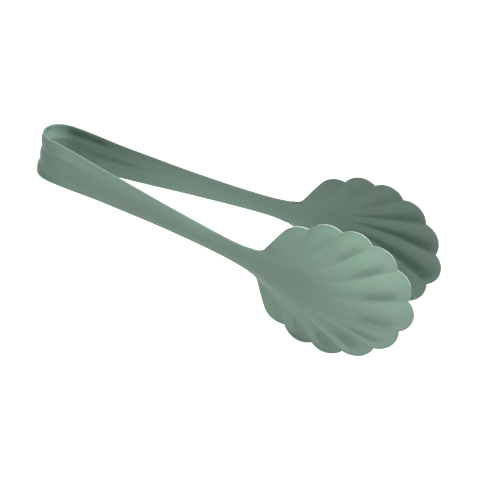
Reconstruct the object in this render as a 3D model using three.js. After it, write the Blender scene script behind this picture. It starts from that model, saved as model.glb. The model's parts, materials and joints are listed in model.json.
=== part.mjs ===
// Serving tongs, pressed from one strip of sheet steel: a spring bow, two arms and two shell bowls.
import * as THREE from 'three';

// Driving dimensions, in millimetres and degrees.
const sheetThickness = 1.2;
const splitGap = 0.3;

// The side profile runs from the top of the bow along one arm: three bends, each an arc of its own.
const bowRadius = 11.35;
const armSplayAtBow = 6.3;
const armSplayAtNeck = 9.8;
const armLength = 123.8;
const neckBendLength = 30;
const shellTilt = -3.0;
const waistRun = 3.5;
const shellRootRun = 12;

// Widths of the strip, and how fast it widens or narrows there.
const bowWidth = 26.2;
const thirdWidth = 19.85;
const twoThirdsWidth = 14.4;
const waistWidth = 11.6;
const shellRootWidth = 14.2;
const thirdTaper = -0.116;
const twoThirdsTaper = -0.102;
const shellRootFlare = 0.4;

// The strip is crowned outwards and fluted lengthways, deeply round the bow and faintly along the arms.
const bowCrown = -0.8;
const armCrown = 1.14;
const crownPower = 1.8;
const fluteCount = 3;
const fluteHeight = 0.6;
const fluteRunOut = 45;
const faintFluteHeight = 0.17;
const faintFluteRunOut = 60;
const fluteSoftness = 0.25;

// The scalloped rim: notches on an oval ring, with lobes of one radius between them.
const ringCentre = 48.9;
const ringHalfLength = 41.25;
const ringHalfWidth = 36.9;
const notchesPerSide = 5;
const firstNotchAngle = 14.3;
const lastNotchAngle = 124.3;
const shoulderAngle = 144;
const shoulderRise = 3.45;
const lobeSweep = 95;
const tipLobeSweep = 115;
const firstLobeSweep = 57;

// The bowl and its ribs, which spread from a point on the keel and swell out into the lobes near the rim.
const bowlDepth = 10;
const bowlStartPower = 1.6;
const bowlEndPower = 1.08;
const ribOrigin = 29;
const flankOrigin = 3.5;
const flankPower = 6.4;
const ribHeight = 1.45;
const ribStart = 0.5;
const flankRibDelay = 0.3;
const ribPeak = 0.87;
const ribSoftness = 0.2;
const lobeStart = 0.76;
const neckPull = 0.32;
const rimPull = 0.68;

// Mesh fineness, and the small step that slopes are measured over.
const columnsPerFlute = 4;
const bowRows = 20;
const armRows = 30;
const columnsPerLobe = 7;
const shellRows = 13;
const nudge = 1e-3;

const coatColour = 0x849f8d;
const coatRoughness = 0.55;
const coatMetalness = 0.0;

const radians = THREE.MathUtils.degToRad;
const smoothstep = THREE.MathUtils.smoothstep;

const bowArc = bowRadius * radians(90 - armSplayAtBow);
const neckStart = bowArc + armLength;
const waist = neckStart - waistRun;
const shellRoot = neckStart + shellRootRun;
const neckBendRate = radians(armSplayAtNeck - shellTilt) / neckBendLength;
const bends = [
  { length: bowArc, turn: radians(armSplayAtBow - 90) },
  { length: armLength, turn: radians(armSplayAtNeck - armSplayAtBow) },
  { length: neckBendLength, turn: radians(shellTilt - armSplayAtNeck) },
];

// Place and heading on the centre line, at a signed distance from the top of the bow.
function centreLine(distance) {
  const side = Math.sign(distance) || 1;
  let left = Math.abs(distance);
  let heading = radians(90);
  let x = sheetThickness / 2;
  let y = 0;
  for (const bend of bends) {
    const run = Math.min(left, bend.length);
    const turn = (bend.turn * run) / bend.length;
    const chord = turn === 0 ? run : (run * Math.sin(turn / 2)) / (turn / 2);
    x += chord * Math.cos(heading + turn / 2);
    y += chord * Math.sin(heading + turn / 2);
    heading += turn;
    left -= run;
  }
  x += left * Math.cos(heading);
  y += left * Math.sin(heading);
  return side > 0 ? { x, y, heading } : { x, y: -y, heading: Math.PI - heading };
}

// Cubic through stations of distance, value and slope.
function throughStations(stations, distance) {
  let index = 0;
  while (index < stations.length - 2 && distance > stations[index + 1][0]) index += 1;
  const [from, startValue, startSlope] = stations[index];
  const [to, endValue, endSlope] = stations[index + 1];
  const span = to - from;
  const share = THREE.MathUtils.clamp((distance - from) / span, 0, 1);
  const rest = 1 - share;
  const startPart = rest * rest * ((1 + 2 * share) * startValue + share * span * startSlope);
  const endPart = share * share * ((1 + 2 * rest) * endValue - rest * span * endSlope);
  return startPart + endPart;
}

const taperLength = waist - bowArc;
const widthStations = [
  [bowArc, bowWidth, 0],
  [bowArc + taperLength / 3, thirdWidth, thirdTaper],
  [bowArc + (2 * taperLength) / 3, twoThirdsWidth, twoThirdsTaper],
  [waist, waistWidth, 0],
  [shellRoot, shellRootWidth, shellRootFlare],
];

const halfWidth = (distance) => throughStations(widthStations, Math.abs(distance)) / 2;

const crownShape = (across) => 1 - Math.abs(across) ** crownPower;

// A row of arches, one for each half turn of the phase, with their valleys rounded by a softness.
function softArch(phase, softness) {
  return (Math.hypot(Math.sin(phase), softness) - softness) / (Math.hypot(1, softness) - softness);
}

// The rim: notches on the ring, counted from the tip, then the shoulder where the first lobe runs out.
function ringPoint(angle, rise) {
  const mean = (ringHalfLength + ringHalfWidth) / 2;
  const stretch = (ringHalfLength - ringHalfWidth) / 2;
  const radius = mean + stretch * Math.cos(2 * angle) + rise;
  return new THREE.Vector2(ringCentre + radius * Math.cos(angle), radius * Math.sin(angle));
}

const notchStep = (lastNotchAngle - firstNotchAngle) / (notchesPerSide - 1);
const notches = Array.from({ length: notchesPerSide }, (unused, index) =>
  ringPoint(radians(firstNotchAngle + index * notchStep), 0));
const shoulder = ringPoint(radians(shoulderAngle), shoulderRise);
const upperCorners = [...notches, shoulder];
const mirrored = (point) => new THREE.Vector2(point.x, -point.y);
const rimCorners = [...upperCorners.map(mirrored).reverse(), ...upperCorners];

// An arc from one notch to the next, bulging away from the bowl.
function lobeArc(start, end, sweep) {
  const chord = end.clone().sub(start);
  const radius = chord.length() / (2 * Math.sin(sweep / 2));
  const inward = new THREE.Vector2(-chord.y, chord.x).normalize();
  const middle = start.clone().add(end).multiplyScalar(0.5);
  const centre = middle.addScaledVector(inward, radius * Math.cos(sweep / 2));
  const from = start.clone().sub(centre).angle();
  return (share) => {
    const angle = from + sweep * share;
    return new THREE.Vector2(Math.cos(angle), Math.sin(angle)).multiplyScalar(radius).add(centre);
  };
}

const lobeCount = rimCorners.length - 1;
function sweepOf(index) {
  if (index === 0 || index === lobeCount - 1) return radians(firstLobeSweep);
  return radians(index === notchesPerSide ? tipLobeSweep : lobeSweep);
}

const lobes = rimCorners.slice(1).map((corner, index) => lobeArc(rimCorners[index], corner, sweepOf(index)));

function rimPoint(lobePlace) {
  const index = Math.min(Math.floor(lobePlace), lobeCount - 1);
  return lobes[index](lobePlace - index);
}

// Rays run from the shell's root to a smooth curve through the notches, and gather towards the rib
// origin. From the start of the lobes they swell out to the rim.
const notchCurve = new THREE.SplineCurve(rimCorners);

function rayPoint(lobePlace, run) {
  const across = (2 * lobePlace) / lobeCount - 1;
  const rim = notchCurve.getPoint(lobePlace / lobeCount);
  const swell = rimPoint(lobePlace).sub(rim).multiplyScalar(smoothstep(run, lobeStart, 1));
  const root = new THREE.Vector2(0, (across * shellRootWidth) / 2);
  const origin = ribOrigin - (ribOrigin - flankOrigin) * Math.abs(across) ** flankPower;
  const outOfNeck = new THREE.Vector2(1, (across * shellRootFlare) / 2);
  const alongRib = rim.clone().sub(new THREE.Vector2(origin, 0));
  const nearRoot = root.clone().addScaledVector(outOfNeck, neckPull * rim.distanceTo(root));
  const nearRim = rim.clone().addScaledVector(alongRib, -rimPull);
  return new THREE.CubicBezierCurve(root, nearRoot, nearRim, rim).getPoint(run).add(swell);
}

// How far the strip stands out from its centre line: through the neck its crest runs straight on.
function stripRise(distance, across) {
  const along = Math.abs(distance);
  const intoNeck = Math.max(along - neckStart, 0);
  const settled = THREE.MathUtils.lerp(bowCrown, armCrown, smoothstep(along, bowArc, neckStart));
  const crown = settled + (neckBendRate * intoNeck ** 2) / 2;
  const deep = (fluteHeight - faintFluteHeight) * (1 - smoothstep(along, bowArc / 2, bowArc + fluteRunOut));
  const faint = faintFluteHeight * (1 - smoothstep(along, neckStart - faintFluteRunOut, neckStart));
  const flutePhase = (fluteCount * Math.PI * (across + 1)) / 2;
  return crown * crownShape(across) + (deep + faint) * softArch(flutePhase, fluteSoftness);
}

// The keel: the crest of the neck runs out along the shell, and the bowl swells under it.
const shellReach = rimPoint(lobeCount / 2).x;
const rootCrown = armCrown + (neckBendRate * shellRootRun ** 2) / 2;
const rootSlope = neckBendRate * shellRootRun;
const keelShape = (run) => run ** bowlStartPower * (1 - run) ** bowlEndPower;
const keelPeak = keelShape(bowlStartPower / (bowlStartPower + bowlEndPower));

function keelRise(run) {
  const crest = rootCrown * (1 - run) ** 2 * (1 + 2 * run);
  const rising = rootSlope * shellReach * run * (1 - run) ** 2;
  return crest + rising + (bowlDepth * keelShape(run)) / keelPeak;
}

// How far the shell stands out from its rim. The ribs start later and stay lower towards the flanks.
function shellRise(lobePlace, run) {
  const across = (2 * lobePlace) / lobeCount - 1;
  const bowl = keelRise(run) * crownShape(across);
  const rising = smoothstep(run, ribStart + flankRibDelay * across ** 2, ribPeak);
  const falling = 1 - smoothstep(run, ribPeak, 1);
  const ribs = ribHeight * (1 - across ** 2) * rising * falling;
  return bowl + ribs * softArch(Math.PI * lobePlace, ribSoftness);
}

// A flat blank, pressed into a form: place gives the middle of the sheet and its outward direction.
function pressedSheet(place, columns, rows) {
  const blank = new THREE.BoxGeometry(1, 1, 1, columns, rows, 1);
  const corners = blank.getAttribute('position');
  for (let index = 0; index < corners.count; index += 1) {
    const { middle, outward } = place(corners.getX(index) + 0.5, corners.getY(index) + 0.5);
    const point = middle.addScaledVector(outward, corners.getZ(index) * sheetThickness);
    corners.setXYZ(index, point.x, point.y, point.z);
  }
  blank.computeVertexNormals();
  return blank;
}

// A point that stands out from the centre line by a rise, at a height above the middle of the strip.
function standOut(distance, rise, height) {
  const { x, y, heading } = centreLine(distance);
  return new THREE.Vector3(x - rise * Math.sin(heading), y + rise * Math.cos(heading), height);
}

function directionAt(distance) {
  const { heading } = centreLine(distance);
  return new THREE.Vector3(Math.cos(heading), Math.sin(heading), 0);
}

// The part of the strip between two distances along the centre line. Its long cut edges are level.
function stripSheet(from, to, columns, rows) {
  const pointAt = (distance, across) =>
    standOut(distance, stripRise(distance, across), across * halfWidth(distance));
  return pressedSheet((u, v) => {
    const distance = THREE.MathUtils.lerp(from, to, v);
    const across = 2 * u - 1;
    const before = pointAt(distance, Math.max(across - nudge, -1));
    const upwards = pointAt(distance, Math.min(across + nudge, 1)).sub(before);
    if (Math.abs(across) === 1) upwards.set(0, 0, 1);
    return { middle: pointAt(distance, across), outward: upwards.cross(directionAt(distance)).normalize() };
  }, columns, rows);
}

// The shell, whose rim lies on the centre line as it leaves the neck and straightens.
function shellSheet() {
  const pointAt = (lobePlace, run) => {
    const plan = rayPoint(lobePlace, run);
    return standOut(shellRoot + plan.x, shellRise(lobePlace, run), plan.y);
  };
  return pressedSheet((u, v) => {
    const lobePlace = u * lobeCount;
    const before = pointAt(Math.max(lobePlace - nudge, 0), v);
    const upwards = pointAt(Math.min(lobePlace + nudge, lobeCount), v).sub(before);
    const start = pointAt(lobePlace, Math.max(v - nudge, 0));
    const along = pointAt(lobePlace, Math.min(v + nudge, 1)).sub(start);
    const onwards = v === 0 ? directionAt(shellRoot) : along;
    return { middle: pointAt(lobePlace, v), outward: upwards.cross(onwards).normalize() };
  }, columnsPerLobe * lobeCount, shellRows);
}

function coatedMesh(name, geometry) {
  const coat = new THREE.MeshStandardMaterial({
    color: coatColour,
    roughness: coatRoughness,
    metalness: coatMetalness,
  });
  const mesh = new THREE.Mesh(geometry, coat);
  mesh.name = name;
  return mesh;
}

const stripColumns = fluteCount * columnsPerFlute;
const bowSheet = stripSheet(-bowArc + splitGap / 2, bowArc - splitGap / 2, stripColumns, bowRows);
const armSheet = stripSheet(bowArc + splitGap / 2, shellRoot, stripColumns, armRows);
const shellForm = shellSheet();

// Both halves are the same pressing, the front one turned half round about the long axis.
const rearHalf = new THREE.Group();
rearHalf.add(coatedMesh('rear_arm', armSheet), coatedMesh('rear_shell', shellForm));
const frontHalf = new THREE.Group();
frontHalf.add(coatedMesh('front_arm', armSheet.clone()), coatedMesh('front_shell', shellForm.clone()));
frontHalf.rotation.x = Math.PI;

// The tongs stand on edge, on the lower corner of the bow and the lowest lobe of each shell.
function standingPitch(shell) {
  const corners = shell.getAttribute('position');
  let pitch = 0;
  for (let index = 0; index < corners.count; index += 1) {
    const fall = Math.atan2(-bowWidth / 2 - corners.getZ(index), corners.getX(index));
    pitch = Math.max(pitch, fall);
  }
  return pitch;
}

const tongs = new THREE.Group();
tongs.add(coatedMesh('spring_bow', bowSheet), rearHalf, frontHalf);
tongs.rotation.y = -standingPitch(shellForm);
const bounds = new THREE.Box3().setFromObject(tongs, true);
const centre = bounds.getCenter(new THREE.Vector3());
tongs.position.set(-centre.x, -centre.y, -bounds.min.z);

const model = new THREE.Group();
model.add(tongs);

export default model;
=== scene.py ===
"""Spring serving tongs with scallop-shell bowls, in coated sheet steel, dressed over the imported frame."""

import json
import logging
import math
from collections.abc import Callable
from dataclasses import dataclass, field
from enum import Enum
from functools import cache, cached_property

import bmesh
import bpy
from mathutils import Matrix, Vector


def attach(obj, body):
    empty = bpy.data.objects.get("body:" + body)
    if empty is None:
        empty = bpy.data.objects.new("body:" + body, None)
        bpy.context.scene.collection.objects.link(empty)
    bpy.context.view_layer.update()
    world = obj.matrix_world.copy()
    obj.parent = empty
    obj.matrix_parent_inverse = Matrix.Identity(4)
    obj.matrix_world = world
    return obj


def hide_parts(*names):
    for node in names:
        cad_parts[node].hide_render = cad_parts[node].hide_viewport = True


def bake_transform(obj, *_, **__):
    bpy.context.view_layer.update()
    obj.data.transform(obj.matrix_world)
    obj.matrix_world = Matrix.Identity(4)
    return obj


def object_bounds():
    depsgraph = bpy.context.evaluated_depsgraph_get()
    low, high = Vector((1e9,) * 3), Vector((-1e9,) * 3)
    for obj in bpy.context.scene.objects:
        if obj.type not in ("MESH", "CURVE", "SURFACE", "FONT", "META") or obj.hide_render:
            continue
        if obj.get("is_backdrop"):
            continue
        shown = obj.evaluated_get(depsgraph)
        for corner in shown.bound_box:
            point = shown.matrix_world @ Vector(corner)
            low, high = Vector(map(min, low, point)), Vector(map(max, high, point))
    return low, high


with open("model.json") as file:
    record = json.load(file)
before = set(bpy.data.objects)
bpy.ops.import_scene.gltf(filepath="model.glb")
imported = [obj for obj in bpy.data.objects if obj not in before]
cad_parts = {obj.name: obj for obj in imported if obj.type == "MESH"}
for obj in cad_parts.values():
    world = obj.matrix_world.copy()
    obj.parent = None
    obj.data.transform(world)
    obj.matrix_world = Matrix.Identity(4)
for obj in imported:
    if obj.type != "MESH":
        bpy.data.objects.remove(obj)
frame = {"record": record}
CAD_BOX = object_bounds()

MM = 0.001
NUDGE = 1e-3
# Vertex attribute: share of the pale painted highlight along the cut edges.
EDGE_HIGHLIGHT_LAYER = "painted_edge_highlight"
# Vertex attribute: painted light and shade, as a share of the coat's colour.
PAINTED_SHADING_LAYER = "painted_light_and_shade"
BLANK_HALF = 0.5
PLACE_DIGITS = 6
CUT_EDGE_MARK = 1
KEEP_MATERIAL = -1
SRGB_TOE = 0.04045
SRGB_SLOPE = 12.92
SRGB_OFFSET = 0.055
SRGB_POWER = 2.4

log = logging.getLogger("tongs")

Tree = bpy.types.NodeTree
Socket = bpy.types.NodeSocket
Colour = tuple[float, float, float, float]
Piece = bpy.types.Object
Place = tuple[Vector, Vector]
Press = Callable[[float, float], Place]
Cut = Callable[[float, float], bool]
# Painted light and shade at a place on a blank, on its outer or its inner side.
PaintedLight = Callable[[float, float, bool], float]


class Half(Enum):
    """The two halves of the tongs, by the side that each is on."""

    FRONT = "front"
    REAR = "rear"

    @property
    def body(self) -> str:
        """The CAD body that this half rides on."""
        return f"{self.value}_half"

    @property
    def turn(self) -> Matrix:
        """The turn that brings the rear pressing to this half's side."""
        return Matrix.Rotation(math.pi if self is Half.FRONT else 0.0, 4, "X")

    @property
    def upward(self) -> int:
        """Which way across the pressing is up once it is turned, 1 or -1."""
        return -1 if self is Half.FRONT else 1


def smoothstep(value: float, start: float, end: float) -> float:
    """Eased share of the way from start to end, 0 before it and 1 past it."""
    share = min(max((value - start) / (end - start), 0.0), 1.0)
    return share * share * (3 - 2 * share)


def mix(start: float, end: float, share: float) -> float:
    """The value a share of the way from start to end."""
    return start + (end - start) * share


@dataclass(frozen=True)
class Ease:
    """A share that eases from 0 at its start to 1 at its end."""

    start: float
    end: float

    def at(self, value: float) -> float:
        """The share at a value."""
        return smoothstep(value, self.start, self.end)


@dataclass(frozen=True)
class Band:
    """A share that eases in from start to full, and eases out from fading to end."""

    start: float
    full: float
    fading: float
    end: float

    def at(self, value: float) -> float:
        """The share at a value."""
        return smoothstep(value, self.start, self.full) * (1 - smoothstep(value, self.fading, self.end))


def soft_arch(phase: float, softness: float) -> float:
    """Height of an arch that repeats each unit of phase, with a rounded valley at each whole number."""
    crest = math.hypot(math.sin(math.pi * phase), softness) - softness
    return crest / (math.hypot(1.0, softness) - softness)


@dataclass(frozen=True)
class StripForm:
    """The bent and pressed strip: its side profile, widths, crown and flutes, in millimetres and degrees."""

    thickness: float = 1.2
    bow_radius: float = 11.35
    splay_at_bow: float = 6.3
    splay_at_neck: float = 9.8
    arm_length: float = 123.8
    neck_bend_length: float = 30.0
    shell_tilt: float = -3.0
    waist_run: float = 3.5
    shell_root_run: float = 12.0
    bow_width: float = 26.2
    third_width: float = 19.85
    two_thirds_width: float = 14.4
    waist_width: float = 11.6
    root_width: float = 14.2
    third_taper: float = -0.116
    two_thirds_taper: float = -0.102
    root_flare: float = 0.4
    bow_crown: float = -0.8
    arm_crown: float = 1.14
    crown_power: float = 1.8
    flute_count: int = 3
    flute_height: float = 0.75
    flute_run_out: float = 40.0
    faint_flute_height: float = 0.17
    faint_flute_run_out: float = 60.0
    flute_softness: float = 0.25

    @cached_property
    def bow_arc(self) -> float:
        """Length of the centre line from the top of the bow to where an arm starts."""
        return self.bow_radius * math.radians(90 - self.splay_at_bow)

    @cached_property
    def neck_start(self) -> float:
        """Distance at which the arm starts to bend into the neck."""
        return self.bow_arc + self.arm_length

    @cached_property
    def shell_root(self) -> float:
        """Distance at which the arm ends and the shell starts."""
        return self.neck_start + self.shell_root_run

    @cached_property
    def neck_bend_rate(self) -> float:
        """How fast the neck bends, in radians a millimetre."""
        return math.radians(self.splay_at_neck - self.shell_tilt) / self.neck_bend_length

    @cached_property
    def bends(self) -> tuple[tuple[float, float], ...]:
        """The arcs of the side profile, from the top of the bow.

        Returns:
            Length and turn in radians of each arc.
        """
        return (
            (self.bow_arc, math.radians(self.splay_at_bow - 90)),
            (self.arm_length, math.radians(self.splay_at_neck - self.splay_at_bow)),
            (self.neck_bend_length, math.radians(self.shell_tilt - self.splay_at_neck)),
        )

    @cached_property
    def width_stations(self) -> tuple[tuple[float, float, float], ...]:
        """The stations of the strip's outline, from the bow to the shell.

        Returns:
            Distance, width and taper at each station.
        """
        waist = self.neck_start - self.waist_run
        taper_length = waist - self.bow_arc
        return (
            (self.bow_arc, self.bow_width, 0.0),
            (self.bow_arc + taper_length / 3, self.third_width, self.third_taper),
            (self.bow_arc + 2 * taper_length / 3, self.two_thirds_width, self.two_thirds_taper),
            (waist, self.waist_width, 0.0),
            (self.shell_root, self.root_width, self.root_flare),
        )

    def centre_line(self, distance: float) -> tuple[float, float, float]:
        """Place and heading on the centre line of the sheet.

        Args:
            distance: Signed distance from the top of the bow, positive along the rear half.

        Returns:
            The place along and across the tongs, and the heading in radians.
        """
        left = abs(distance)
        heading = math.pi / 2
        x, y = self.thickness / 2, 0.0
        for length, full_turn in self.bends:
            run = min(left, length)
            turn = full_turn * run / length
            chord = run * math.sin(turn / 2) / (turn / 2) if turn else run
            x += chord * math.cos(heading + turn / 2)
            y += chord * math.sin(heading + turn / 2)
            heading += turn
            left -= run
        x += left * math.cos(heading)
        y += left * math.sin(heading)
        return (x, y, heading) if distance >= 0 else (x, -y, math.pi - heading)

    def half_width(self, distance: float) -> float:
        """Half the width of the strip, by a cubic through the width stations.

        Args:
            distance: Signed distance from the top of the bow.

        Returns:
            Half the width, in millimetres.
        """
        along = abs(distance)
        stations = self.width_stations
        index = 0
        while index < len(stations) - 2 and along > stations[index + 1][0]:
            index += 1
        start, start_width, start_taper = stations[index]
        end, end_width, end_taper = stations[index + 1]
        span = end - start
        share = min(max((along - start) / span, 0.0), 1.0)
        rest = 1 - share
        start_part = rest * rest * ((1 + 2 * share) * start_width + share * span * start_taper)
        end_part = share * share * ((1 + 2 * rest) * end_width - rest * span * end_taper)
        return (start_part + end_part) / 2

    def crown_shape(self, across: float) -> float:
        """Share of the crown's height, from 1 at mid width to 0 at either edge."""
        return 1 - abs(across) ** self.crown_power

    def rise(self, distance: float, across: float) -> float:
        """How far the strip stands out from its centre line.

        Args:
            distance: Signed distance from the top of the bow.
            across: Place across the width, from -1 to 1.

        Returns:
            The height of crown and flutes together, in millimetres.
        """
        along = abs(distance)
        into_neck = max(along - self.neck_start, 0.0)
        settled = mix(self.bow_crown, self.arm_crown, smoothstep(along, self.bow_arc, self.neck_start))
        crown = settled + self.neck_bend_rate * into_neck**2 / 2
        fading = 1 - smoothstep(along, self.bow_arc / 2, self.bow_arc + self.flute_run_out)
        deep = (self.flute_height - self.faint_flute_height) * fading
        faint = self.faint_flute_height * (
            1 - smoothstep(along, self.neck_start - self.faint_flute_run_out, self.neck_start)
        )
        arch = soft_arch(self.flute_count * (across + 1) / 2, self.flute_softness)
        return crown * self.crown_shape(across) + (deep + faint) * arch

    def stand_out(self, distance: float, rise: float, height: float) -> Vector:
        """A point that stands out from the centre line by a rise, at a height above mid width."""
        x, y, heading = self.centre_line(distance)
        return Vector((x - rise * math.sin(heading), y + rise * math.cos(heading), height))

    def direction(self, distance: float) -> Vector:
        """Unit vector along the centre line."""
        heading = self.centre_line(distance)[2]
        return Vector((math.cos(heading), math.sin(heading), 0.0))

    def surface(self, distance: float, across: float) -> Vector:
        """The middle of the sheet at a distance along the strip and a place across it."""
        return self.stand_out(distance, self.rise(distance, across), across * self.half_width(distance))

    def place(self, distance: float, across: float) -> Place:
        """The middle of the sheet and its outward direction.

        Args:
            distance: Signed distance from the top of the bow.
            across: Place across the width, from -1 to 1.

        Returns:
            The point, and a unit vector square to the sheet there.
        """
        below = self.surface(distance, max(across - NUDGE, -1.0))
        above = self.surface(distance, min(across + NUDGE, 1.0))
        upwards = Vector((0.0, 0.0, 1.0)) if abs(across) == 1 else above - below
        outward = upwards.cross(self.direction(distance)).normalized()
        return self.surface(distance, across), outward


@dataclass(frozen=True)
class ShellForm:
    """The scallop-shell bowl that the strip spreads into: its rim, its bowl and its ribs."""

    strip: StripForm
    ring_centre: float = 48.9
    ring_half_length: float = 41.25
    ring_half_width: float = 36.9
    notches_per_side: int = 5
    first_notch_angle: float = 14.3
    last_notch_angle: float = 124.3
    shoulder_angle: float = 144.0
    shoulder_rise: float = 3.45
    lobe_sweep: float = 95.0
    tip_lobe_sweep: float = 115.0
    first_lobe_sweep: float = 68.0
    bowl_depth: float = 9.85
    bowl_start_power: float = 1.6
    bowl_end_power: float = 1.08
    rib_origin: float = 29.0
    flank_origin: float = 0.0
    flank_power: float = 6.4
    rib_height: float = 1.6
    rib_start: float = 0.5
    flank_rib_delay: float = 0.3
    rib_peak: float = 0.87
    rib_softness: float = 0.08
    lobe_start: float = 0.76
    neck_pull: float = 0.32
    rim_pull: float = 0.68

    def ring_point(self, angle: float, rise: float = 0.0) -> Vector:
        """A point on the oval ring that the notches lie on.

        Args:
            angle: Degrees round the ring, from the tip.
            rise: How far outside the ring.

        Returns:
            The point in the plan of the shell, from its root.
        """
        mean = (self.ring_half_length + self.ring_half_width) / 2
        stretch = (self.ring_half_length - self.ring_half_width) / 2
        turn = math.radians(angle)
        radius = mean + stretch * math.cos(2 * turn) + rise
        return Vector((self.ring_centre + radius * math.cos(turn), radius * math.sin(turn)))

    @cached_property
    def corners(self) -> list[Vector]:
        """Where one lobe meets the next.

        Returns:
            The points in the plan of the shell, from the lower shoulder round the tip to the upper one.
        """
        step = (self.last_notch_angle - self.first_notch_angle) / (self.notches_per_side - 1)
        angles = [self.first_notch_angle + step * index for index in range(self.notches_per_side)]
        upper = [self.ring_point(angle) for angle in angles]
        upper.append(self.ring_point(self.shoulder_angle, self.shoulder_rise))
        return [Vector((point.x, -point.y)) for point in reversed(upper)] + upper

    @cached_property
    def lobe_count(self) -> int:
        """How many lobes the rim has."""
        return len(self.corners) - 1

    @cached_property
    def lobe_arcs(self) -> list[tuple[Vector, float, float, float]]:
        """The arc that each lobe of the rim follows.

        Returns:
            Centre, radius, first angle and sweep of each arc, with both angles in radians.
        """
        arcs = []
        for index in range(self.lobe_count):
            degrees = self.lobe_sweep
            if index in (0, self.lobe_count - 1):
                degrees = self.first_lobe_sweep
            elif index == self.notches_per_side:
                degrees = self.tip_lobe_sweep
            sweep = math.radians(degrees)
            start, end = self.corners[index], self.corners[index + 1]
            chord = end - start
            radius = chord.length / (2 * math.sin(sweep / 2))
            inward = Vector((-chord.y, chord.x)).normalized()
            centre = (start + end) / 2 + inward * radius * math.cos(sweep / 2)
            first = math.atan2(start.y - centre.y, start.x - centre.x)
            arcs.append((centre, radius, first, sweep))
        return arcs

    def rim_point(self, lobe_place: float) -> Vector:
        """A point on the rim.

        Args:
            lobe_place: Which lobe, counted from the lower shoulder, and how far along it.

        Returns:
            The point in the plan of the shell, from its root.
        """
        index = min(int(lobe_place), self.lobe_count - 1)
        centre, radius, first, sweep = self.lobe_arcs[index]
        angle = first + sweep * (lobe_place - index)
        return centre + Vector((math.cos(angle), math.sin(angle))) * radius

    def notch_curve(self, lobe_place: float) -> Vector:
        """A point on the smooth curve through the notches, which the rays run to.

        Args:
            lobe_place: Which lobe, counted from the lower shoulder, and how far along it.

        Returns:
            The point in the plan of the shell, from its root.
        """
        index = min(int(lobe_place), self.lobe_count - 1)
        share = lobe_place - index
        before, start, end, after = (
            self.corners[min(max(index + step, 0), self.lobe_count)] for step in (-1, 0, 1, 2)
        )
        start_slope, end_slope = (end - before) / 2, (after - start) / 2
        bend = (start - end) * 2 + start_slope + end_slope
        sag = (end - start) * 3 - start_slope * 2 - end_slope
        return bend * share**3 + sag * share**2 + start_slope * share + start

    @cached_property
    def reach(self) -> float:
        """Length of the shell from its root to its tip, in plan."""
        return self.rim_point(self.lobe_count / 2).x

    def across(self, lobe_place: float) -> float:
        """Place across the shell, from -1 to 1."""
        return 2 * lobe_place / self.lobe_count - 1

    def ray_point(self, lobe_place: float, run: float) -> Vector:
        """A point on the ray from the shell's root to a place on the rim.

        Args:
            lobe_place: The place on the rim.
            run: How far along the ray, from 0 to 1.

        Returns:
            The point in the plan of the shell, from its root.
        """
        across = self.across(lobe_place)
        rim = self.notch_curve(lobe_place)
        swell = (self.rim_point(lobe_place) - rim) * smoothstep(run, self.lobe_start, 1.0)
        root = Vector((0.0, across * self.strip.root_width / 2))
        origin = self.rib_origin - (self.rib_origin - self.flank_origin) * abs(across) ** self.flank_power
        out_of_neck = Vector((1.0, across * self.strip.root_flare / 2))
        near_root = root + out_of_neck * self.neck_pull * (rim - root).length
        near_rim = rim - (rim - Vector((origin, 0.0))) * self.rim_pull
        rest = 1 - run
        return (
            root * rest**3
            + near_root * 3 * run * rest**2
            + near_rim * 3 * run**2 * rest
            + rim * run**3
            + swell
        )

    def keel_rise(self, run: float) -> float:
        """How far the middle of the shell stands out: the neck's crest runs out as the bowl swells.

        Args:
            run: How far along the middle ray, from 0 to 1.

        Returns:
            The height of crest and bowl together, in millimetres.
        """
        strip = self.strip
        root_crown = strip.arm_crown + strip.neck_bend_rate * strip.shell_root_run**2 / 2
        root_slope = strip.neck_bend_rate * strip.shell_root_run
        rest = 1 - run
        crest = root_crown * rest**2 * (1 + 2 * run)
        rising = root_slope * self.reach * run * rest**2
        peak_run = self.bowl_start_power / (self.bowl_start_power + self.bowl_end_power)
        peak = peak_run**self.bowl_start_power * (1 - peak_run) ** self.bowl_end_power
        swell = run**self.bowl_start_power * rest**self.bowl_end_power / peak
        return crest + rising + self.bowl_depth * swell

    def rise(self, lobe_place: float, run: float) -> float:
        """How far the shell stands out from its rim.

        Args:
            lobe_place: The place on the rim that the ray runs to.
            run: How far along the ray.

        Returns:
            The height of bowl and ribs together, in millimetres.
        """
        across = self.across(lobe_place)
        bowl = self.keel_rise(run) * self.strip.crown_shape(across)
        rising = smoothstep(run, self.rib_start + self.flank_rib_delay * across**2, self.rib_peak)
        falling = 1 - smoothstep(run, self.rib_peak, 1.0)
        ribs = self.rib_height * (1 - across**2) * rising * falling
        return bowl + ribs * soft_arch(lobe_place, self.rib_softness)

    def surface(self, lobe_place: float, run: float) -> Vector:
        """The middle of the sheet on a ray of the shell."""
        plan = self.ray_point(lobe_place, run)
        return self.strip.stand_out(self.strip.shell_root + plan.x, self.rise(lobe_place, run), plan.y)

    def place(self, lobe_place: float, run: float) -> Place:
        """The middle of the sheet and its outward direction.

        Args:
            lobe_place: The place on the rim that the ray runs to.
            run: How far along the ray.

        Returns:
            The point, and a unit vector square to the sheet there.
        """
        below = self.surface(max(lobe_place - NUDGE, 0.0), run)
        above = self.surface(min(lobe_place + NUDGE, float(self.lobe_count)), run)
        if run == 0:
            onwards = self.strip.direction(self.strip.shell_root)
        else:
            onwards = self.surface(lobe_place, min(run + NUDGE, 1.0)) - self.surface(lobe_place, run - NUDGE)
        return self.surface(lobe_place, run), (above - below).cross(onwards).normalized()


STRIP = StripForm()
SHELL = ShellForm(STRIP)


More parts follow.
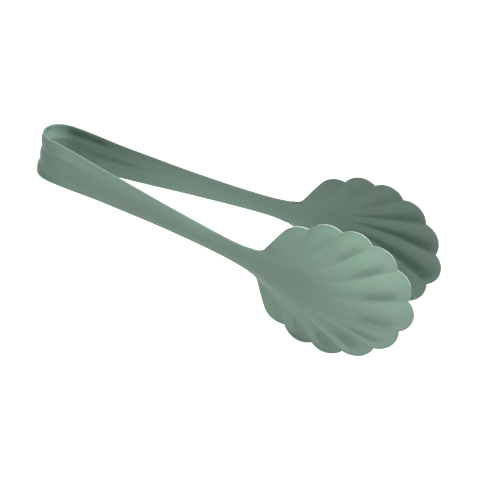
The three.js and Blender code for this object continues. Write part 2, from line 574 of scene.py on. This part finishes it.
def standing() -> Matrix:
    """Where the pressing stands in the frame, from the place and axis of the CAD's rear flex joint.

    Returns:
        The turn and shift from the pressing's own frame to the shared one.
    """
    joints = frame["record"]["behaviour"]["joints"]
    rear_flex = next(joint for joint in joints if joint["name"] == "rear_flex")
    down = Vector(rear_flex["axis"])
    turn = Matrix.Rotation(-math.atan2(down.x, -down.z), 4, "Y")
    x, y, _ = STRIP.centre_line(STRIP.bow_arc)
    hinge = Vector((x, y, 0.0)) * MM
    return Matrix.Translation(Vector(rear_flex["pos_m"]) - turn @ hinge) @ turn


def linear(hex_colour: str) -> Colour:
    """Linear colour of an sRGB hex value.

    Args:
        hex_colour: Six hex digits, with or without a leading #.

    Returns:
        Linear red, green and blue, and an alpha of 1.
    """
    digits = hex_colour.lstrip("#")
    channels = [int(digits[index:index + 2], 16) / 255 for index in (0, 2, 4)]
    red, green, blue = (
        channel / SRGB_SLOPE if channel <= SRGB_TOE
        else ((channel + SRGB_OFFSET) / (1 + SRGB_OFFSET)) ** SRGB_POWER
        for channel in channels
    )
    return red, green, blue, 1.0


def add_node(
    tree: Tree,
    kind: str,
    settings: dict[str, object] | None = None,
    inputs: dict[str | int, object] | None = None,
) -> bpy.types.Node:
    """Adds a node, sets its properties, and sets or links its inputs.

    Args:
        tree: The node tree that gets the node.
        kind: The node's type name.
        settings: Property names and their values.
        inputs: Socket names or numbers, each with a plain value or the output that feeds it.

    Returns:
        The new node.
    """
    node = tree.nodes.new(kind)
    for name, value in (settings or {}).items():
        setattr(node, name, value)
    for name, value in (inputs or {}).items():
        if isinstance(value, Socket):
            tree.links.new(value, node.inputs[name])
        else:
            node.inputs[name].default_value = value
    return node


def add_math(tree: Tree, operation: str, *values: float | Socket) -> Socket:
    """Adds one step of arithmetic, and gives its result."""
    inputs = dict(enumerate(values))
    return add_node(tree, "ShaderNodeMath", {"operation": operation}, inputs).outputs["Value"]


def mix_colours(tree: Tree, share: Socket, start: Socket | Colour, end: Socket | Colour) -> Socket:
    """Adds a mix of two colours, from the start at share 0 to the end at share 1."""
    inputs = {0: share, 6: start, 7: end}
    return add_node(tree, "ShaderNodeMix", {"data_type": "RGBA"}, inputs).outputs[2]


def mix_values(tree: Tree, share: Socket, start: Socket | float, end: Socket | float) -> Socket:
    """Adds a mix of two values, from the start at share 0 to the end at share 1."""
    inputs = {0: share, 2: start, 3: end}
    return add_node(tree, "ShaderNodeMix", {"data_type": "FLOAT"}, inputs).outputs[0]


def empty_material(name: str) -> bpy.types.Material:
    """A node material with nothing in it yet.

    Args:
        name: The material's name.

    Returns:
        The empty material.
    """
    material = bpy.data.materials.new(name)
    material.use_nodes = True
    material.node_tree.nodes.clear()
    return material


@dataclass(frozen=True)
class Noise:
    """A noise pattern: the size of its patches in millimetres, its detail, and how rough that detail is."""

    size: float
    detail: float
    roughness: float

    def add(self, tree: Tree, place: Socket) -> Socket:
        """Adds the pattern to a material.

        Args:
            tree: The node tree.
            place: Output with the place on the object, in metres.

        Returns:
            The output with the noise.
        """
        return add_node(tree, "ShaderNodeTexNoise", None, {
            "Vector": place, "Scale": 1 / (self.size * MM),
            "Detail": self.detail, "Roughness": self.roughness,
        }).outputs["Fac"]


@dataclass(frozen=True)
class PowderCoatedSteel:
    """Satin polyester powder coat on stamped sheet steel.

    The powder melts to an even, opaque, satin skin with a faint orange-peel ripple and no grain. The cut
    edges carry a painted highlight, a paler and a little glossier coat, strongest round the front shell.
    The colour also carries painted light and shade from the sheet's form, and turns a little greener where
    these are strong. One small ragged chip at the top of the bow shows the bluish steel.
    """

    name: str = "powder_coated_stamped_steel"
    coat: str = "#869E90"
    greyer_coat: str = "#879D93"
    greener_coat: str = "#83A18F"
    tint_span: tuple[float, float] = (0.32, 0.68)
    # How much greener the coat turns where painted light and shade are strong.
    painted_shading_greening: float = 0.7
    patches: Noise = Noise(size=16.0, detail=3.0, roughness=0.55)
    specks: Noise = Noise(size=0.55, detail=2.0, roughness=0.6)
    ripple: Noise = Noise(size=1.6, detail=2.0, roughness=0.5)
    noise_span: tuple[float, float] = (0.3, 0.7)
    speck_strength: float = 0.035
    ripple_height: float = 0.012
    ripple_strength: float = 0.35
    roughness: float = 0.5
    roughness_spread: float = 0.06
    specular: float = 0.22
    # Paler, glossier coat of the painted highlight along the cut edges.
    edge_highlight_colour: str = "#D3E4DB"
    edge_highlight_roughness: float = 0.36
    bare_steel: str = "#A9B4C9"
    bare_roughness: float = 0.34
    chip_place: tuple[float, float, float] = (-118.7, 2.3, 25.9)
    chip_radius: float = 2.4
    chip_raggedness: float = 1.6
    chip_softness: float = 0.1

    def spread(self, tree: Tree, noise: Socket, middle: float, reach: float) -> Socket:
        """Spreads a noise round a middle value.

        Args:
            tree: The node tree.
            noise: Output with the noise.
            middle: The value that the noise is spread round.
            reach: How far it reaches to either side.

        Returns:
            The output with the spread noise.
        """
        low, high = self.noise_span
        return add_node(tree, "ShaderNodeMapRange", None, {
            "Value": noise, "From Min": low, "From Max": high,
            "To Min": middle - reach, "To Max": middle + reach,
        }).outputs["Result"]

    def coat_colour(self, tree: Tree, patches: Socket, specks: Socket) -> Socket:
        """Colours the whole coat: a hue that drifts from patch to patch, fine specks, and painted light and
        shade.

        Args:
            tree: The node tree.
            patches: Output with the broad noise.
            specks: Output with the fine noise.

        Returns:
            The output with the colour. It is greener where painted light and shade are strong.
        """
        # Painted light and shade from the sheet's form, which scale the colour.
        tone = add_node(tree, "ShaderNodeAttribute", {"attribute_name": PAINTED_SHADING_LAYER}).outputs["Fac"]
        change = add_math(tree, "ABSOLUTE", tone)
        # The coat turns greener where painted light and shade are strong.
        greening = add_math(tree, "MULTIPLY_ADD", change, self.painted_shading_greening, patches)
        tint = add_node(tree, "ShaderNodeValToRGB", None, {"Fac": greening})
        stops = tint.color_ramp.elements
        for stop, position, colour in zip(stops, self.tint_span, (self.greyer_coat, self.greener_coat)):
            stop.position = position
            stop.color = linear(colour)
        stops.new(sum(self.tint_span) / 2).color = linear(self.coat)
        speckle = self.spread(tree, specks, 1.0, self.speck_strength)
        return add_node(tree, "ShaderNodeVectorMath", {"operation": "SCALE"}, {
            0: tint.outputs["Color"], "Scale": add_math(tree, "ADD", speckle, tone),
        }).outputs["Vector"]

    def chip_share(self, tree: Tree, place: Socket, specks: Socket) -> Socket:
        """Marks the small ragged chip at the top of the bow, where steel shows.

        Args:
            tree: The node tree.
            place: Output with the place on the object, in metres.
            specks: Output with a fine noise, for the chip's ragged outline.

        Returns:
            The output that is 1 on bare steel and 0 on the coat.
        """
        away = add_node(tree, "ShaderNodeVectorMath", {"operation": "DISTANCE"}, {
            0: place, 1: tuple(length * MM for length in self.chip_place),
        }).outputs["Value"]
        ragged = add_math(tree, "MULTIPLY_ADD", specks, self.chip_raggedness * MM, away)
        outline = (self.chip_radius + self.chip_raggedness / 2) * MM
        return add_node(tree, "ShaderNodeMapRange", None, {
            "From Min": outline * (1 - self.chip_softness),
            "From Max": outline * (1 + self.chip_softness),
            "Value": ragged, "To Min": 1.0, "To Max": 0.0,
        }).outputs["Result"]

    def build(self) -> bpy.types.Material:
        """Builds the node material.

        Returns:
            The finished material.
        """
        material = empty_material(self.name)
        tree = material.node_tree
        place = add_node(tree, "ShaderNodeTexCoord").outputs["Object"]
        patches = self.patches.add(tree, place)
        specks = self.specks.add(tree, place)

        # Painted highlight along the cut edges: a paler, glossier coat.
        edge_highlight = add_node(tree, "ShaderNodeAttribute", {"attribute_name": EDGE_HIGHLIGHT_LAYER}).outputs["Fac"]
        coat = self.coat_colour(tree, patches, specks)
        colour = mix_colours(tree, edge_highlight, coat, linear(self.edge_highlight_colour))
        uneven = self.spread(tree, patches, self.roughness, self.roughness_spread)
        roughness = mix_values(tree, edge_highlight, uneven, self.edge_highlight_roughness)

        chip = self.chip_share(tree, place, specks)
        bump = add_node(tree, "ShaderNodeBump", None, {
            "Height": self.ripple.add(tree, place),
            "Strength": self.ripple_strength,
            "Distance": self.ripple_height * MM,
        })
        shader = add_node(tree, "ShaderNodeBsdfPrincipled", None, {
            "Base Color": mix_colours(tree, chip, colour, linear(self.bare_steel)),
            "Roughness": mix_values(tree, chip, roughness, self.bare_roughness),
            "Metallic": chip,
            "Specular IOR Level": self.specular,
            "Normal": bump.outputs["Normal"],
        })
        add_node(tree, "ShaderNodeOutputMaterial", None, {"Surface": shader.outputs["BSDF"]})
        return material


@dataclass(frozen=True)
class ShadedHollow:
    """A hollow inside the strip, darkened by painted shade: its height across, how dark, its stretch and its
    reach.
    """

    height: float
    painted_shade: float
    stretch: Band
    reach: float = 0.24

    def painted_shade_at(self, along: float, height: float) -> float:
        """How much painted shade darkens the coat at a distance along the strip and a height across it."""
        nearness = 1 - smoothstep(abs(height - self.height), 0.0, self.reach)
        return self.painted_shade * nearness * self.stretch.at(along)


@dataclass(frozen=True)
class StripPaintedShading:
    """Painted light and shade on the bow and the arms, as a share of the coat's colour.

    Outside, painted light makes the coat paler towards the upper edge, and a little towards the lower one.
    Painted shade darkens the lower side of each flute outside, and the inside near the bow, most of all
    its hollows. Stretches are in millimetres from the top of the bow. Heights across the strip go from -1 at
    the lower edge to 1 at the upper one.
    """

    upper_painted_light: float = 0.2
    upper_heights: Ease = Ease(-0.3, 0.85)
    lower_painted_light: float = 0.07
    lower_heights: Ease = Ease(0.3, 0.9)
    painted_light_stretch: Band = Band(14.0, 28.0, STRIP.neck_start - 25.0, STRIP.neck_start)
    flute_painted_shade: float = 0.26
    flute_slip: float = 0.2
    flute_fading: Ease = Ease(14.0, 28.0)
    flute_border: Ease = Ease(0.8, 1.0)
    inside_painted_shade: float = 0.18
    inside_stretch: Band = Band(14.0, 22.0, 45.0, 95.0)
    hollows: tuple[ShadedHollow, ...] = (
        ShadedHollow(height=0.74, painted_shade=0.36, stretch=Band(13.0, 20.0, 36.0, 45.0)),
        ShadedHollow(height=0.02, painted_shade=0.2, stretch=Band(24.0, 38.0, 50.0, 70.0)),
    )

    def at(self, distance: float, height: float, outside: bool) -> float:
        """Painted light and shade at a place on the strip.

        Args:
            distance: Signed distance along the strip from the top of the bow.
            height: Place across the width, from -1 at the lower edge to 1 at the upper one.
            outside: Whether this is the outer side of the sheet.

        Returns:
            How much painted light brightens the coat there, or painted shade darkens it where negative.
        """
        along = abs(distance)
        if not outside:
            hollow_painted_shade = sum(hollow.painted_shade_at(along, height) for hollow in self.hollows)
            return -hollow_painted_shade - self.inside_painted_shade * self.inside_stretch.at(along)
        upper = self.upper_painted_light * self.upper_heights.at(height)
        lower = self.lower_painted_light * self.lower_heights.at(-height)
        phase = STRIP.flute_count * (height - self.flute_slip + 1) / 2
        lower_side = 1 - soft_arch(phase, STRIP.flute_softness)
        fading = (1 - self.flute_fading.at(along)) * (1 - self.flute_border.at(abs(height)))
        return (upper + lower) * self.painted_light_stretch.at(along) - self.flute_painted_shade * lower_side * fading


@dataclass(frozen=True)
class ShellPaintedShading:
    """Painted light and shade on a shell, as a share of the coat's colour.

    Outside, painted light makes the coat paler towards the rim on its upper and lower sides. Painted shade
    darkens the lower side of each rib, and outside on the lower lobes half a lobe further up. Heights across
    the shell go from -1 at the lower shoulder to 1 at the upper one. Runs go from 0 at the root to 1 at the
    rim.
    """

    rib_side: Band = Band(0.0, 0.08, 0.2, 0.5)
    rib_slip: float = 0.5
    even_lobes: Ease = Ease(3.8, 5.2)
    rib_painted_shade_outside: float = 0.32
    outside_runs: Band = Band(0.74, 0.85, 0.91, 0.97)
    rib_painted_shade_inside: float = 0.34
    inside_runs: Band = Band(0.4, 0.6, 0.95, 1.0)
    inside_heights: Band = Band(-0.6, -0.1, 0.12, 0.65)
    upper_painted_light: float = 0.2
    upper_heights: Ease = Ease(-0.3, 0.5)
    upper_runs: Ease = Ease(0.45, 0.9)
    lower_painted_light: float = 0.2
    lower_heights: Ease = Ease(0.35, 0.8)
    lower_runs: Ease = Ease(0.7, 0.95)

    def at(self, lobe_height: float, run: float, outside: bool) -> float:
        """Painted light and shade at a place on a shell.

        Args:
            lobe_height: Place on the rim, in lobes counted upwards from the lower shoulder.
            run: How far along the ray to that place.
            outside: Whether this is the outer side of the sheet.

        Returns:
            How much painted light brightens the coat there, or painted shade darkens it where negative.
        """
        height = SHELL.across(lobe_height)
        if not outside:
            side = self.rib_side.at(lobe_height % 1.0)
            return -self.rib_painted_shade_inside * side * self.inside_heights.at(height) * self.inside_runs.at(run)
        slip = self.rib_slip * (1 - self.even_lobes.at(lobe_height))
        side = self.rib_side.at((lobe_height - slip) % 1.0)
        painted_shade = self.rib_painted_shade_outside * side * (1 - height**2) * self.outside_runs.at(run)
        upper = self.upper_painted_light * self.upper_heights.at(height) * self.upper_runs.at(run)
        lower = self.lower_painted_light * self.lower_heights.at(-height) * self.lower_runs.at(run)
        return upper + lower - painted_shade


STRIP_PAINTED_SHADING = StripPaintedShading()
SHELL_PAINTED_SHADING = ShellPaintedShading()


@dataclass(frozen=True)
class EdgeLightAndShade:
    """Painted light on a cut edge: the share of its pale painted highlight, from 0 to 1, and its painted
    shade.
    """

    highlight_share: float
    tone: float


# Painted light on the cut edges: a pale painted highlight, full on the front shell's rim, and painted shade,
# deepest on the rear half.
BOW_EDGE = EdgeLightAndShade(highlight_share=0.12, tone=-0.25)
ARM_EDGES = {Half.FRONT: BOW_EDGE, Half.REAR: EdgeLightAndShade(highlight_share=0.12, tone=-0.45)}
RIM_EDGES = {Half.FRONT: EdgeLightAndShade(highlight_share=1.0, tone=0.0), Half.REAR: EdgeLightAndShade(highlight_share=0.0, tone=-0.5)}


def blank_place(vertex: bmesh.types.BMVert) -> tuple[float, float]:
    """Place of a vertex on the flat blank, from 0 to 1 each way."""
    return round(vertex.co.x + BLANK_HALF, PLACE_DIGITS), round(vertex.co.y + BLANK_HALF, PLACE_DIGITS)


def settle_order(sheet: bmesh.types.BMesh) -> None:
    """Sorts a mesh by the places of its vertices and faces, which rounding leaves in a chance order.

    Args:
        sheet: The mesh to sort.
    """
    vertices = sorted(sheet.verts, key=lambda vertex: tuple(vertex.co))
    faces = sorted(sheet.faces, key=lambda face: tuple(face.calc_center_median()))
    for elements, in_order in ((sheet.verts, vertices), (sheet.faces, faces)):
        ranks = {element: rank for rank, element in enumerate(in_order)}
        elements.sort(key=ranks.get)


@dataclass(frozen=True)
class Sheet:
    """A square blank of sheet steel that is pressed into a form: its fineness and its cut edges."""

    columns: int
    rows: int
    edge_light: EdgeLightAndShade
    edge_radius: float = 0.3
    edge_segments: int = 3
    edge_roundness: float = 0.5

    def lay_blank(self, sheet: bmesh.types.BMesh) -> None:
        """Lays the flat blank: an inner skin at height 0 and an outer one at height 1, with walls between.

        Args:
            sheet: The empty mesh that gets the blank.
        """
        bmesh.ops.create_grid(sheet, x_segments=self.columns, y_segments=self.rows, size=BLANK_HALF)
        grown = bmesh.ops.extrude_face_region(sheet, geom=sheet.faces[:], use_keep_orig=True)
        raised = [item for item in grown["geom"] if isinstance(item, bmesh.types.BMVert)]
        bmesh.ops.translate(sheet, verts=raised, vec=(0.0, 0.0, 1.0))
        bmesh.ops.recalc_face_normals(sheet, faces=sheet.faces[:])

    def mark_walls(self, sheet: bmesh.types.BMesh, cut: Cut) -> list[bmesh.types.BMEdge]:
        """Marks the walls that are cut edges, and finds the corners that run along them.

        Args:
            sheet: The flat blank.
            cut: Whether a place on the blank lies on a cut edge.

        Returns:
            The corners to round.
        """
        on_cut = {vertex for vertex in sheet.verts if cut(*blank_place(vertex))}
        walls = [face for face in sheet.faces if round(face.normal.z) == 0]
        for face in walls:
            is_cut = on_cut.issuperset(face.verts)
            face.material_index = CUT_EDGE_MARK if is_cut else 0
            for edge in face.edges:
                edge.smooth = is_cut
        return [
            edge for edge in sheet.edges
            if len({face.material_index for face in edge.link_faces}) == 2 and on_cut.issuperset(edge.verts)
        ]

    def press(self, name: str, press: Press, cut: Cut, tone: PaintedLight) -> Piece:
        """Presses the blank and rounds its cut edges.

        Args:
            name: Name of the finished piece.
            press: Middle of the sheet and outward direction, for a place on the blank from 0 to 1 each way.
            cut: Whether a place on the blank lies on a cut edge.
            tone: Painted light and shade on the coat at a place on the blank, on its outer or its inner
                side.

        Returns:
            The piece, in the pressing's own frame, in metres.
        """
        sheet = bmesh.new()
        self.lay_blank(sheet)
        corners = self.mark_walls(sheet, cut)
        painted_shading_layer = sheet.verts.layers.float.new(PAINTED_SHADING_LAYER)
        pressed = cache(press)
        for vertex in sheet.verts:
            u, v = blank_place(vertex)
            middle, outward = pressed(u, v)
            outside = vertex.co.z > BLANK_HALF
            # Painted light and shade, kept at each vertex.
            vertex[painted_shading_layer] = tone(u, v, outside)
            vertex.co = (middle + outward * (0.5 if outside else -0.5) * STRIP.thickness) * MM
        bmesh.ops.recalc_face_normals(sheet, faces=sheet.faces[:])
        bmesh.ops.bevel(
            sheet, geom=corners, offset=self.edge_radius * MM, offset_type="OFFSET", affect="EDGES",
            segments=self.edge_segments, profile=self.edge_roundness, material=KEEP_MATERIAL,
            clamp_overlap=True,
        )
        settle_order(sheet)
        mesh = bpy.data.meshes.new(name)
        sheet.to_mesh(mesh)
        sheet.free()
        self.paint_edge_light(mesh)
        mesh.shade_smooth()
        piece = bpy.data.objects.new(name, mesh)
        bpy.context.scene.collection.objects.link(piece)
        return piece

    def paint_edge_light(self, mesh: bpy.types.Mesh) -> None:
        """Writes the painted highlight and the painted shade of the cut edges as attributes, for the coat to
        read.

        Args:
            mesh: The pressed mesh, whose cut edges still have the second material.
        """
        highlight_share = [0.0] * len(mesh.vertices)
        edge_painted_shading = mesh.attributes[PAINTED_SHADING_LAYER].data
        for face in mesh.polygons:
            if face.material_index == CUT_EDGE_MARK:
                for index in face.vertices:
                    highlight_share[index] = self.edge_light.highlight_share
                    edge_painted_shading[index].value = self.edge_light.tone
            face.material_index = 0
        mesh.attributes.new(EDGE_HIGHLIGHT_LAYER, "FLOAT", "POINT").data.foreach_set("value", highlight_share)


def towards_ends(share: float, crowding: float) -> float:
    """Moves an even place from 0 to 1 towards the nearer end: not at crowding 0, and most at crowding 1."""
    return mix(share, smoothstep(share, 0.0, 1.0), crowding)


def on_long_side(u: float, v: float) -> bool:
    """Whether a place on the blank lies on one of its two long sides."""
    return u in (0.0, 1.0)


@dataclass(frozen=True)
class Stretch:
    """A stretch of the strip that a blank is pressed to, between two distances from the top of the bow."""

    start: float
    end: float
    crowding: float = 0.0
    upward: int = 1

    def distance(self, v: float) -> float:
        """Distance along the strip at a place along the blank."""
        return mix(self.start, self.end, towards_ends(v, self.crowding))

    def press(self, u: float, v: float) -> Place:
        """The middle of the sheet and its outward direction at a place on the blank."""
        return STRIP.place(self.distance(v), 2 * u - 1)

    def tone(self, u: float, v: float, outside: bool) -> float:
        """Painted light and shade on the coat at a place on the blank, on its outer or its inner side."""
        return STRIP_PAINTED_SHADING.at(self.distance(v), (2 * u - 1) * self.upward, outside)


@dataclass
class Tongs:
    """What every piece of the tongs shares: where the pressing stands, and the coat."""

    stand: Matrix = field(default_factory=standing)
    coat: bpy.types.Material = field(default_factory=lambda: PowderCoatedSteel().build())

    def finish(self, piece: Piece, turn: Matrix, *nodes: str) -> Piece:
        """Stands a pressed piece in the frame, coats it, and lets it stand for its CAD nodes.

        Args:
            piece: The pressed piece.
            turn: The turn that brings the pressing to its half's side.
            *nodes: The CAD nodes that it replaces.

        Returns:
            The piece, with its place in its mesh.
        """
        piece.data.transform(self.stand @ turn)
        piece.data.materials.append(self.coat)
        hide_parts(*nodes)
        log.info("%s: %d faces, stands for %s", piece.name, len(piece.data.polygons), ", ".join(nodes))
        return piece


@dataclass
class Bow:
    """The fluted U at the closed end, which is the spring."""

    tongs: Tongs
    sheet: Sheet = Sheet(columns=72, rows=90, edge_light=BOW_EDGE)
    stretch: Stretch = Stretch(start=-STRIP.bow_arc, end=STRIP.bow_arc)

    def build(self) -> Piece:
        """Builds the bow between the roots of the two arms.

        Returns:
            The bow, riding on its own body.
        """
        piece = self.sheet.press("bow_sheet", self.stretch.press, on_long_side, self.stretch.tone)
        self.tongs.finish(piece, Matrix.Identity(4), "spring_bow")
        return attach(piece, "bow")


@dataclass
class Arm:
    """A tapering, crowned arm, from the bow to the root of the shell."""

    tongs: Tongs
    half: Half
    columns: int = 60
    rows: int = 150
    crowding: float = 0.35
    flex_length: float = 34.0

    def build(self) -> Piece:
        """Builds the arm, with its place baked into its mesh.

        Returns:
            The arm.
        """
        stretch = Stretch(STRIP.bow_arc, STRIP.shell_root, self.crowding, self.half.upward)
        sheet = Sheet(self.columns, self.rows, ARM_EDGES[self.half])
        piece = sheet.press(f"{self.half.value}_arm_sheet", stretch.press, on_long_side, stretch.tone)
        self.tongs.finish(piece, self.half.turn, f"{self.half.value}_arm")
        x, y, _ = STRIP.centre_line(STRIP.bow_arc)
        root = Vector((x, y, 0.0))
        flexed = root + STRIP.direction(STRIP.bow_arc) * self.flex_length
        to_frame = self.tongs.stand @ self.half.turn
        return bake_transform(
            piece, "bow", self.half.body, start=to_frame @ (root * MM), end=to_frame @ (flexed * MM),
        )


@dataclass
class ShellBowl:
    """A scallop-shell bowl, whose ribs spread from its middle to the lobes of its rim."""

    tongs: Tongs
    half: Half
    columns_per_lobe: int = 16
    rows: int = 84
    crowding: float = 0.45

    def press(self, u: float, v: float) -> Place:
        """The middle of the sheet and its outward direction at a place on the blank."""
        return SHELL.place(u * SHELL.lobe_count, towards_ends(v, self.crowding))

    def tone(self, u: float, v: float, outside: bool) -> float:
        """Painted light and shade on the coat at a place on the blank, on its outer or its inner side."""
        upwards = u if self.half.upward == 1 else 1 - u
        return SHELL_PAINTED_SHADING.at(upwards * SHELL.lobe_count, towards_ends(v, self.crowding), outside)

    def is_cut(self, u: float, v: float) -> bool:
        """Whether a place on the blank lies on the rim, or on a side of the neck."""
        return on_long_side(u, v) or v == 1.0

    def build(self) -> Piece:
        """Builds the shell from its root to its rim.

        Returns:
            The shell, riding on its half.
        """
        sheet = Sheet(self.columns_per_lobe * SHELL.lobe_count, self.rows, RIM_EDGES[self.half])
        piece = sheet.press(f"{self.half.value}_shell_sheet", self.press, self.is_cut, self.tone)
        self.tongs.finish(piece, self.half.turn, f"{self.half.value}_shell")
        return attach(piece, self.half.body)


@dataclass(frozen=True)
class Softbox:
    """A square soft lamp, placed by its direction in degrees and its distance in metres."""

    name: str
    azimuth: float
    elevation: float
    watts: float
    distance: float = 1.2
    width: float = 0.5


@dataclass
class Studio:
    """A plain pale floor, two soft lamps and the camera of the photograph."""

    floor_size: float = 8.0
    floor_colour: str = "#E8E8E8"
    floor_roughness: float = 0.9
    floor_lift: float = 0.78
    ambient: float = 0.32
    lamp_aim_height: float = 0.03
    lamps: tuple[Softbox, ...] = (
        Softbox("overhead_softbox", 0.0, 88.0, 9.6),
        Softbox("shell_side_softbox", -10.0, 45.0, 6.6),
    )
    camera_place: tuple[float, float, float] = (139.4, -747.5, 537.4)
    camera_aim: tuple[float, float, float] = (11.0, 0.0, 20.4)
    camera_roll: float = 22.54
    focal_length: float = 121.34
    sensor_width: float = 36.0

    def backdrop_rays(self, tree: Tree) -> Socket:
        """Adds up camera, glossy and transmission rays, which see the white backdrop.

        Args:
            tree: The node tree that needs the sum.

        Returns:
            The output that is 1 for such a ray.
        """
        rays = add_node(tree, "ShaderNodeLightPath").outputs
        seen = add_math(tree, "ADD", rays["Is Camera Ray"], rays["Is Glossy Ray"])
        return add_node(tree, "ShaderNodeMath", {"operation": "ADD", "use_clamp": True}, {
            0: seen, 1: rays["Is Transmission Ray"],
        }).outputs["Value"]

    def lay_floor(self) -> None:
        """Lays the floor, whose colour is lifted to white for the camera and still takes the shadow."""
        material = empty_material("matt_pale_floor")
        tree = material.node_tree
        matt = add_node(tree, "ShaderNodeBsdfPrincipled", None, {
            "Base Color": linear(self.floor_colour), "Roughness": self.floor_roughness,
        })
        lift = add_math(tree, "MULTIPLY", self.backdrop_rays(tree), self.floor_lift)
        glow = add_node(tree, "ShaderNodeEmission", None, {"Strength": lift})
        both = add_node(tree, "ShaderNodeAddShader", None, {
            0: matt.outputs["BSDF"], 1: glow.outputs["Emission"],
        })
        add_node(tree, "ShaderNodeOutputMaterial", None, {"Surface": both.outputs["Shader"]})
        floor = bmesh.new()
        bmesh.ops.create_grid(floor, x_segments=1, y_segments=1, size=self.floor_size / 2)
        mesh = bpy.data.meshes.new("floor")
        floor.to_mesh(mesh)
        floor.free()
        mesh.materials.append(material)
        piece = bpy.data.objects.new("floor", mesh)
        bpy.context.scene.collection.objects.link(piece)
        piece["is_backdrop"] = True

    def light_world(self) -> None:
        """Fills the shade with an even pale light, and shows as white to the camera."""
        world = bpy.data.worlds.new("studio")
        world.use_nodes = True
        tree = world.node_tree
        tree.nodes.clear()
        strength = mix_values(tree, self.backdrop_rays(tree), self.ambient, 1.0)
        sky = add_node(tree, "ShaderNodeBackground", None, {"Strength": strength})
        add_node(tree, "ShaderNodeOutputWorld", None, {"Surface": sky.outputs["Background"]})
        bpy.context.scene.world = world

    def hang_lamp(self, softbox: Softbox) -> None:
        """Hangs one square soft lamp, which faces the middle of the tongs.

        Args:
            softbox: The lamp, and where it hangs.
        """
        azimuth, elevation = math.radians(softbox.azimuth), math.radians(softbox.elevation)
        level = math.cos(elevation)
        outward = Vector((level * math.cos(azimuth), level * math.sin(azimuth), math.sin(elevation)))
        lamp = bpy.data.lights.new(softbox.name, "AREA")
        lamp.shape = "SQUARE"
        lamp.size = softbox.width
        lamp.energy = softbox.watts
        hung = bpy.data.objects.new(softbox.name, lamp)
        hung.location = Vector((0.0, 0.0, self.lamp_aim_height)) + outward * softbox.distance
        hung.rotation_euler = (-outward).to_track_quat("-Z", "Y").to_euler()
        bpy.context.scene.collection.objects.link(hung)

    def set_camera(self) -> None:
        """Sets the camera at the photograph's viewing angle, rolled as it was held."""
        camera = bpy.data.cameras.new("camera")
        camera.sensor_width = self.sensor_width
        camera.lens = self.focal_length
        held = bpy.data.objects.new("camera", camera)
        place = Vector(self.camera_place) * MM
        aim = Vector(self.camera_aim) * MM
        level = (aim - place).to_track_quat("-Z", "Y").to_matrix().to_4x4()
        roll = Matrix.Rotation(math.radians(self.camera_roll), 4, "Z")
        held.matrix_world = Matrix.Translation(place) @ level @ roll
        bpy.context.scene.collection.objects.link(held)
        bpy.context.scene.camera = held

    def build(self) -> None:
        """Sets up the floor, the light and the camera."""
        bpy.context.scene.view_settings.view_transform = "Standard"
        self.set_camera()
        self.lay_floor()
        self.light_world()
        for softbox in self.lamps:
            self.hang_lamp(softbox)


def write_sizes() -> None:
    """Measures the CAD box and the visual model's box, and keeps neither."""
    boxes = {"cad": CAD_BOX, "visual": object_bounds()}
    {name: [list(corner) for corner in box] for name, box in boxes.items()}


def main() -> None:
    """Builds the studio and the tongs, piece by piece."""
    logging.basicConfig(level=logging.INFO, format="%(name)s: %(message)s")
    Studio().build()
    log.info("studio: floor, lamps and camera set")
    tongs = Tongs()
    Bow(tongs).build()
    for half in Half:
        Arm(tongs, half).build()
        ShellBowl(tongs, half).build()
    write_sizes()


if __name__ == "__main__":
    main()
